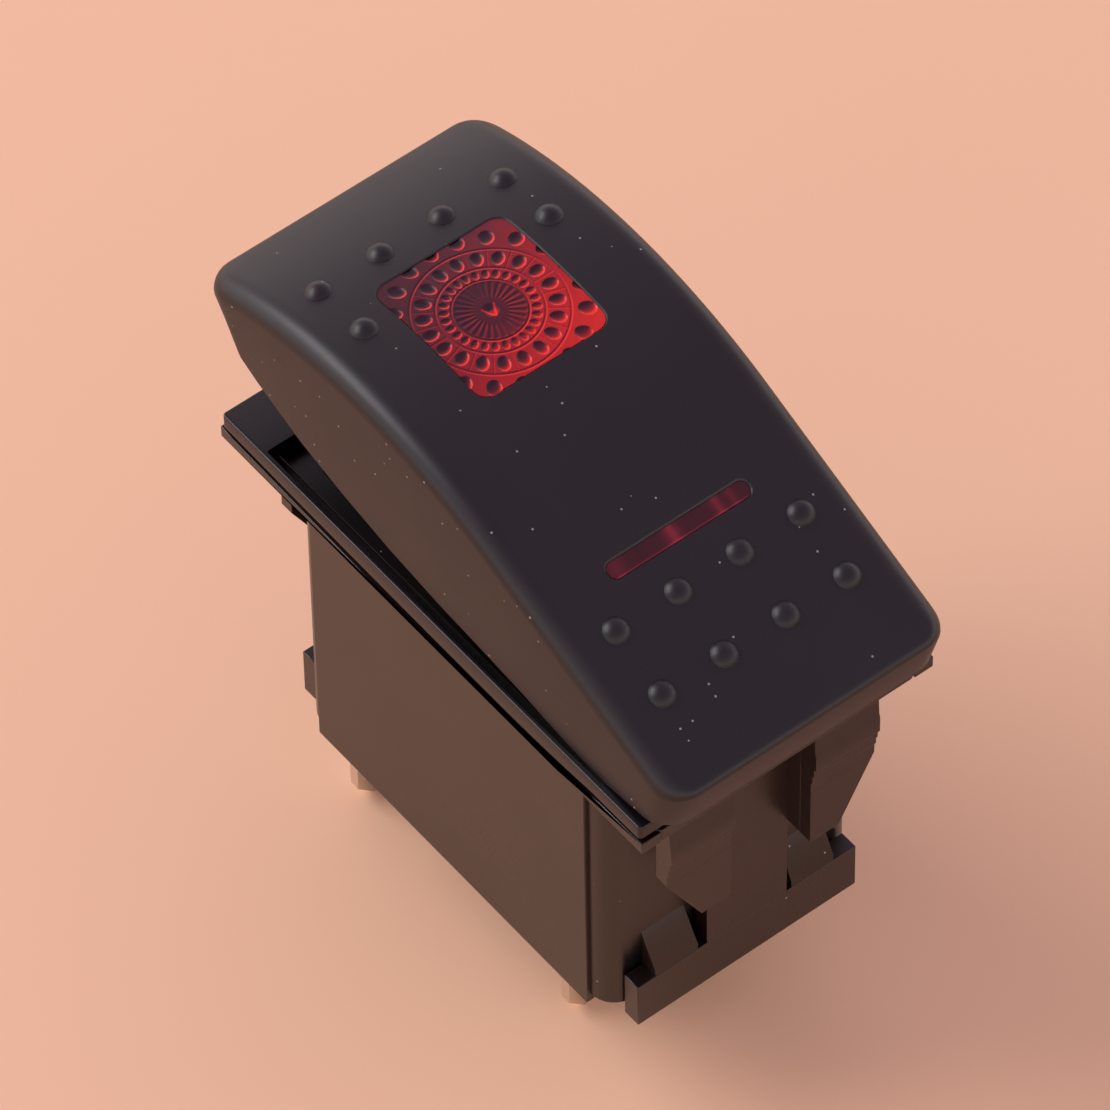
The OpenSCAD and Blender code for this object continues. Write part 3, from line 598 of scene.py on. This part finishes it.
cap = cap_body()
for cutter in (punch("square_punch", SQUARE), punch("bar_punch", BAR)):
    cut = cap.modifiers.new("window", "BOOLEAN")
    cut.operation, cut.solver, cut.object = "DIFFERENCE", "EXACT", cutter
    pierced = bpy.data.meshes.new_from_object(cap.evaluated_get(bpy.context.evaluated_depsgraph_get()))
    cap.modifiers.clear()
    cap.data = pierced
    bpy.data.objects.remove(cutter)
cap.data.shade_smooth()
cap.data.set_sharp_from_angle(angle=np.radians(30))
print("cap has", len(cap.data.polygons), "faces after its windows are cut")

# %% The grip bumps
BUMP_D, BUMP_H, PITCH = 1.9, 0.5, 4.9
FOUR = (-1.5, -0.5, 0.5, 1.5)            # places across the rocker, in pitches
ROWS = [(17.4, FOUR), (12.8, (-1.5, 1.5)), (-12.8, FOUR), (-17.5, FOUR)]


def dome(skin, x, y):
    """Part of a sphere of R = (d^2/4 + h^2) / 2h, with a short stem that sinks into the face."""
    ball = (BUMP_D ** 2 / 4 + BUMP_H ** 2) / (2 * BUMP_H)
    slope = (roof(np.array(y + 0.01)) - roof(np.array(y - 0.01))) / 0.02
    up = np.array([0, -slope, 1.0]) / np.hypot(slope, 1.0)
    side, front = np.array([1.0, 0, 0]), np.cross(up, [1.0, 0, 0])
    foot = np.array([x, y, float(roof(np.array(y)))]) + up * (BUMP_H - ball)
    around = np.linspace(0, 2 * np.pi, 33)[:-1]
    ring = np.cos(around)[:, None] * side + np.sin(around)[:, None] * front
    edge = np.arcsin(BUMP_D / 2 / ball)
    stem = foot + up * (ball - BUMP_H - 0.3)
    loops = [stem + ring * 1e-3, stem + ring * (BUMP_D / 2 - 0.03)]
    for polar in np.linspace(edge, 0.0, 10):
        loops.append(foot + up * ball * np.cos(polar) + ring * max(ball * np.sin(polar), 1e-5))
    skin.bands([on_rocker(loop * MM) for loop in loops])
    for loop, flip in ((loops[0], True), (loops[-1], False)):
        i = skin.add(on_rocker(loop * MM)).reshape(-1)
        k = len(i)
        fan = np.array([(i[0], i[2 * j + 1], i[2 * j + 2], i[(2 * j + 3) % k]) for j in range(k // 2 - 1)])
        skin.faces.append(fan[:, ::-1] if flip else fan)


skin = Skin()
for y, places in ROWS:
    for place_x in places:
        dome(skin, place_x * PITCH, y)
bumps = skin.piece("grip_bumps")

for piece in (cap, bumps):
    piece.data.materials.clear()
    piece.data.materials.append(rocker_black)
    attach(piece, "rocker")
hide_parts("rocker_cap")

# %% [markdown]
# ## The jewelled lens
#
# The lens shows a fluted disc, a ring of small pits, a groove, a ring of larger pits, and a last ring that the
# window's corners cut through. A height field suits it, because no part of the pattern undercuts, and one formula in
# polar coordinates gives every ring its count and size. The light on the relief is painted: walls that turn to the
# far end are painted bright as if lit through the pits, so the slope of the relief is kept as an attribute and mixes
# the reds.


# %% Shape of the relief
def ring_of_pits(r, angle, count, middle, half, spread, depth, turn=0.0):
    """Round-bottomed pits in a ring, with u the distance along the ring and v = r - middle.

    h = depth sqrt(max(0, 1 - (u/spread)^2 - (v/half)^2)).
    """
    cell = (angle + turn) * count / (2 * np.pi)
    u = (cell - np.floor(cell) - 0.5) * 2 * np.pi * middle / count
    v = r - middle
    return depth * np.sqrt(np.clip(1 - (u / spread) ** 2 - (v / half) ** 2, 0, None))


def jewel_height(x, y):
    """Relief in mm, measured down from 0: a cup, flutes, three rings of pits, webs and thin grooves."""
    r, angle = np.hypot(x, y), np.arctan2(y, x)
    flutes = 0.07 * (0.5 + 0.5 * np.cos(28 * angle))
    flutes = flutes * np.clip((r - 0.9) / 0.4, 0, 1) * np.clip((2.35 - r) / 0.15, 0, 1)
    cup = 0.35 * np.clip(1 - r / 0.55, 0, 1)
    small = ring_of_pits(r, angle, 28, 2.92, 0.34, 0.24, 0.22)
    large = ring_of_pits(r, angle, 20, 4.25, 0.56, 0.42, 0.42)
    past_web = np.mod(angle * 20 / (2 * np.pi), 1.0) * 2 * np.pi * r / 20
    webs = 0.06 * np.clip(1 - np.abs(past_web) / 0.08, 0, 1) * (r > 3.5) * (r < 5.0)
    outer = ring_of_pits(r, angle, 20, 6.05, 0.60, 0.50, 0.45, np.pi / 20)
    grooves = sum(0.10 * np.clip(1 - np.abs(r - at) / 0.10, 0, 1) for at in (2.45, 3.45, 5.05))
    return -(flutes + cup + small + large + outer + webs + grooves)


# %% A lens block whose upper face is a fine grid
LENS_FLOOR = 6.6                         # height of a lens's underside, level with the pivot at 0


def border(grid):
    """The outer points of a grid, anticlockwise."""
    return np.concatenate([grid[0, :-1], grid[:-1, -1], grid[-1, :0:-1], grid[:0:-1, 0]])


def lens_block(name, window, top_of, painted_light_from, shape, gap=0.03):
    """A block whose rows are squeezed near the corners, closed by a wall and a floor.

    x = s w(y), with w = W/2 - r + sqrt(r^2 - c^2) and c the depth into the corner.
    """
    half, near, far, r = window[0] - gap, window[1] + gap, window[2] - gap, window[3]
    s, y = np.meshgrid(np.linspace(-1, 1, shape[0]), np.linspace(near, far, shape[1]))
    into = np.clip(np.abs(y - (near + far) / 2) - ((far - near) / 2 - r), 0, r)
    x = s * (half - r + np.sqrt(np.clip(r * r - into * into, 0, None)))
    plan = np.stack([x, y], axis=-1)
    top, bottom = lift(plan, top_of(x, y)), lift(plan, np.full(x.shape, LENS_FLOOR))
    skin = Skin()
    skin.grid(top)
    skin.grid(bottom, up=False)
    skin.band(border(bottom), border(top))
    made = skin.piece(name, sharp=50)
    level = np.empty(len(made.data.vertices) * 3)
    made.data.vertices.foreach_get("co", level)
    level = level.reshape(-1, 3) / MM - PIVOT / MM
    level_y = level[:, 1] * np.cos(TILT) + level[:, 2] * np.sin(TILT)
    attribute = made.data.attributes.new("glow", "FLOAT", "POINT")
    attribute.data.foreach_set("value", painted_light_from(level[:, 0], level_y).astype(np.float32))
    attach(made, "rocker")
    return made


def jewel_painted_light(x, y):
    """Painted light and shade, 0 to 1: g = 0.49 - 0.5 dh/dy - 0.040 y + 0.026 x, from the middle of the pattern.

    Walls that face the far end are painted bright, and the lens is painted darker towards its far left. The fluted disc
    is darker by 0.24, the deep pits get painted shade, and a painted bright vee stands in the middle.
    """
    d, x, v = 0.04, x - JEWEL_MIDDLE[0], y - JEWEL_MIDDLE[1]
    slope = (jewel_height(x, v + d) - jewel_height(x, v - d)) / (2 * d)
    r = np.hypot(x, v)
    pit_shade = np.clip(-jewel_height(x, v) - 0.12, 0, 0.3)
    disc = np.clip((2.45 - r) / 0.1, 0, 1)
    vee = np.clip(1 - np.abs(np.abs(x) - 0.22 - 0.5 * (v + 0.2)) / 0.14, 0, 1) * (r < 0.6)
    # painted light by slope, a painted fall-off, a darker disc, painted shade in the pits and a painted bright vee
    glow = 0.49 - 0.50 * slope - 0.040 * v + 0.026 * x - 0.24 * disc - 1.1 * pit_shade * (1 - disc) + 0.7 * vee
    return np.clip(glow, 0, 1)


def jewel_top(x, y):
    """The roof lowered a little, with the relief at three tenths of its depth; painted light and shade tell the rest.
    """
    return roof(y, 0.08) + 0.3 * jewel_height(x - JEWEL_MIDDLE[0], y - JEWEL_MIDDLE[1])


def bar_painted_light(x, y):
    """Painted light: soft bright spots along the bar, and a painted highlight along its near edge."""
    spots = sum(bright * np.exp(-((x - at) / wide) ** 2) for at, wide, bright in BAR_LIGHT_SPOTS)
    line = np.clip((BAR[1] + 0.16 - y) / 0.08, 0, 1)
    return np.clip(0.15 + 0.6 * spots + 0.5 * line, 0, 1)


JEWEL_MIDDLE = (-0.35, (SQUARE[1] + SQUARE[2]) / 2 - 0.35)
# painted light: where the bright spots sit on the bar lens
BAR_LIGHT_SPOTS = ((-4.9, 0.6, 0.5), (-0.5, 0.55, 0.9), (3.1, 0.4, 0.8), (4.2, 0.3, 0.5))   # x, width, brightness
jewel = lens_block("jewel_lens", SQUARE, jewel_top, jewel_painted_light, (195, 215))
bar = lens_block("bar_lens", BAR, lambda x, y: roof(y, 0.10), bar_painted_light, (120, 24))
jewel.data.materials.append(jewel_red)
bar.data.materials.append(bar_red)
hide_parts("upper_lens")
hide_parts("lower_lens")

# %% [markdown]
# ## The bezel ring
#
# A flat ring with a narrow rim along the rocker and a plate at each end. Its upper outer edge has a rounding of a
# tenth of a millimetre, because that edge is the thin bright line that runs along the whole switch.


# %% The ring and its two clips
RING_X, RING_Y, HOLE_X, HOLE_Y = 11.7, 21.25, 11.35, 17.0
RING_TOP, RING_LOW, HOLE_LOW, RING_ROUND = 2.4, 1.3, 1.1, 0.1
DIP, DIP_Y, DIP_NEAR, DIP_FAR = 0.42, -7.8, 8.5, 28    # how far a long side sags, where, and its reach each way


def at_height(plan, height):
    """Points of a plan at one height or at one height each, in metres."""
    return np.concatenate([plan, np.broadcast_to(height, len(plan))[:, None]], axis=-1) * MM


def bezel():
    """Loops round the ring's section: outer wall, rounding, upper face, inner wall and underside.

    The underside of the long sides sags by d (1 - ((y - yd)/w)^2), with its own reach w on each side of yd.
    """
    skin = Skin()
    outer, normal = plan_loop(RING_X, -RING_Y, RING_Y, 0.3)
    hole, _ = plan_loop(HOLE_X, -HOLE_Y, HOLE_Y, 0.2)
    reach = np.where(outer[:, 1] < DIP_Y, DIP_NEAR, DIP_FAR)
    under = RING_LOW - DIP * np.clip(1 - ((outer[:, 1] - DIP_Y) / reach) ** 2, 0, None) * np.abs(normal[:, 0])
    loops = [at_height(outer, under)]
    for bend in np.linspace(0, np.pi / 2, 4):
        loops.append(at_height(outer - normal * RING_ROUND * (1 - np.cos(bend)),
                               RING_TOP - RING_ROUND + RING_ROUND * np.sin(bend)))
    loops += [at_height(hole, RING_TOP), at_height(hole, HOLE_LOW), loops[0]]
    skin.bands(loops)
    for sign in (-1, 1):
        clip, _ = plan_loop(2.5, 0, 1.0, 0.1)
        clip = clip + np.array([0, 17.05 if sign > 0 else -18.05])
        centre = np.tile(clip.mean(axis=0), (len(clip), 1))
        skin.bands([at_height(centre, -0.9), at_height(clip, -0.9), at_height(clip, 1.3), at_height(centre, 1.3)])
    return skin.piece("bezel_ring")


ring = bezel()
ring.data.materials.append(bezel_black)
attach(ring, "housing")
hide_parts("bezel_frame")

# %% [markdown]
# ## The housing
#
# The housing is a tube with flat side panels, a thin lip under the bezel and a springy wing at each end. Straight
# mouldings like these are clearest as prisms: each outline is drawn once in its own plane and given a depth, and the
# second wing is the first one with its y turned round.


# %% Prisms and a tube in one piece
class Moulding:
    """Straight blocks gathered in one mesh; an outline lies across the named axis and runs from low to high."""

    def __init__(self):
        self.shape = bmesh.new()

    def prism(self, outline, axis, low, high):
        order = {"x": (2, 0, 1), "y": (0, 2, 1), "z": (0, 1, 2)}[axis]
        ends = [[self.shape.verts.new([(*point, depth)[k] * MM for k in order]) for point in outline]
                for depth in (low, high)]
        made = [self.shape.faces.new(end) for end in ends]
        made += self.wall(*ends)
        bmesh.ops.recalc_face_normals(self.shape, faces=made)

    def wall(self, a, b):
        """A face between each pair of neighbours in two rows of points that close on themselves."""
        count = len(a)
        return [self.shape.faces.new([a[k], a[(k + 1) % count], b[(k + 1) % count], b[k]]) for k in range(count)]

    def box(self, x, y, z):
        self.prism([(x[0], y[0]), (x[1], y[0]), (x[1], y[1]), (x[0], y[1])], "z", *z)

    def tube(self, outer, inner, low, high):
        """Wall between two loops with as many points each."""
        corners = ((outer, low), (outer, high), (inner, high), (inner, low))
        rings = [[self.shape.verts.new((x * MM, y * MM, z * MM)) for x, y in loop] for loop, z in corners]
        made = []
        for a, b in zip(rings, rings[1:] + rings[:1]):
            made += self.wall(a, b)
        bmesh.ops.recalc_face_normals(self.shape, faces=made)

    def piece(self, name, bevel=0.06):
        mesh = bpy.data.meshes.new(name)
        self.shape.to_mesh(mesh)
        self.shape.free()
        made = bpy.data.objects.new(name, mesh)
        bpy.context.scene.collection.objects.link(made)
        soft = made.modifiers.new("edge", "BEVEL")
        soft.width, soft.segments = bevel * MM, 2
        soft.limit_method, soft.angle_limit = "ANGLE", np.radians(40)
        mesh.shade_smooth()
        mesh.set_sharp_from_angle(angle=np.radians(35))
        print(name, "has", len(mesh.polygons), "faces")
        return made


# %% The housing's body, lip and wings
BODY_X, PANEL_X, BODY_Y, PANEL_Y, FOOT = 10.15, 10.45, 16.0, 14.05, -24.7
WING_Y, ARM_Y, BAR_Y, BAR_BACK, BAR_TOP = 20.3, 19.8, 17.5, 16.1, -20.7
ARM_IN, ARM_OUT, ARM_FOOT, ARM_THICK = 3.25, 8.45, -13.1, 1.1
LIP_X, LIP_Y = 11.7, 21.45
TOOTH = [(WING_Y - 0.25, -0.4), (ARM_Y - ARM_THICK, -0.4), (ARM_Y - ARM_THICK, -7.9), (ARM_Y, -7.9),
         (ARM_Y, -6.9), (WING_Y - 0.35, -6.8), (WING_Y - 0.35, -6.1), (WING_Y - 0.2, -6.0),
         (WING_Y - 0.2, -5.3), (WING_Y, -5.2), (WING_Y, -3.8), (WING_Y - 0.1, -3.4)]      # y, z from the side


def wing(m, end):
    """One wing at y = end * Y: two toothed arms, the recessed neck between them, the cross bar and two ramps."""
    def turned(points):
        return [(end * y, z) for y, z in points]

    def span(a, b):
        return tuple(sorted((end * a, end * b)))

    for side in (-1, 1):
        m.prism(turned(TOOTH), "x", *sorted((side * ARM_IN, side * ARM_OUT)))
        m.prism([(side * ARM_IN, -7.85), (side * ARM_OUT, -7.85), (side * 5.6, ARM_FOOT), (side * ARM_IN, ARM_FOOT)],
                "y", *span(ARM_Y - ARM_THICK, ARM_Y - 0.01))
        m.box(sorted((side * ARM_IN, side * 4.35)), span(BAR_BACK, ARM_Y - 1.05), (ARM_FOOT, -0.45))
    m.box((-3.3, 3.3), span(BAR_BACK + 0.02, BAR_Y - 0.02), (BAR_TOP - 0.1, -1.4))
    m.box((-9.0, 9.0), span(BAR_BACK, BAR_Y), (FOOT, BAR_TOP))
    for low, high in ((-7.5, -4.0), (3.7, 7.2)):
        m.prism(turned([(BODY_Y - 0.2, BAR_TOP + 3.6), (BODY_Y - 0.2, FOOT + 0.1),
                        (BAR_Y - 0.05, FOOT + 0.1), (BAR_Y - 0.05, BAR_TOP + 0.5)]), "x", low, high)


def housing():
    """The tube, the lip with its side panels and pivot ears, and a wing at each end."""
    m = Moulding()
    outer, _ = plan_loop(BODY_X, -BODY_Y, BODY_Y, 2.0, shape=(3, 3, 9))
    inner, _ = plan_loop(8.95, 1.2 - BODY_Y, BODY_Y - 1.2, 0.8, shape=(3, 3, 9))
    m.tube(outer, inner, FOOT + 0.7, 0.02)
    rim, _ = plan_loop(10.3, -21.4, 21.4, 0.4, shape=(3, 3, 9))
    m.tube(rim, inner, 0.0, 1.06)
    for side in (-1, 1):
        m.box(sorted((side * 9.6, side * PANEL_X)), (-PANEL_Y, PANEL_Y), (FOOT, 0.01))
        # the lip thins out where the bezel's side is arched
        m.prism([(-LIP_Y, 0), (LIP_Y, 0), (LIP_Y, 1.0), (20.4, 0.80), (0.0, 0.04),
                 (-13.0, 0.04), (-17.0, 0.84), (-LIP_Y, 1.0)], "x", *sorted((side * 10.2, side * LIP_X)))
        m.box(sorted((side * 7.55, side * 8.95)), (-2.7, 2.7), (-4.0, 3.6))
        wing(m, side)
    return m.piece("housing_shell")


shell = housing()
shell.data.materials.append(housing_black)
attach(shell, "housing")
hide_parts("base_housing")
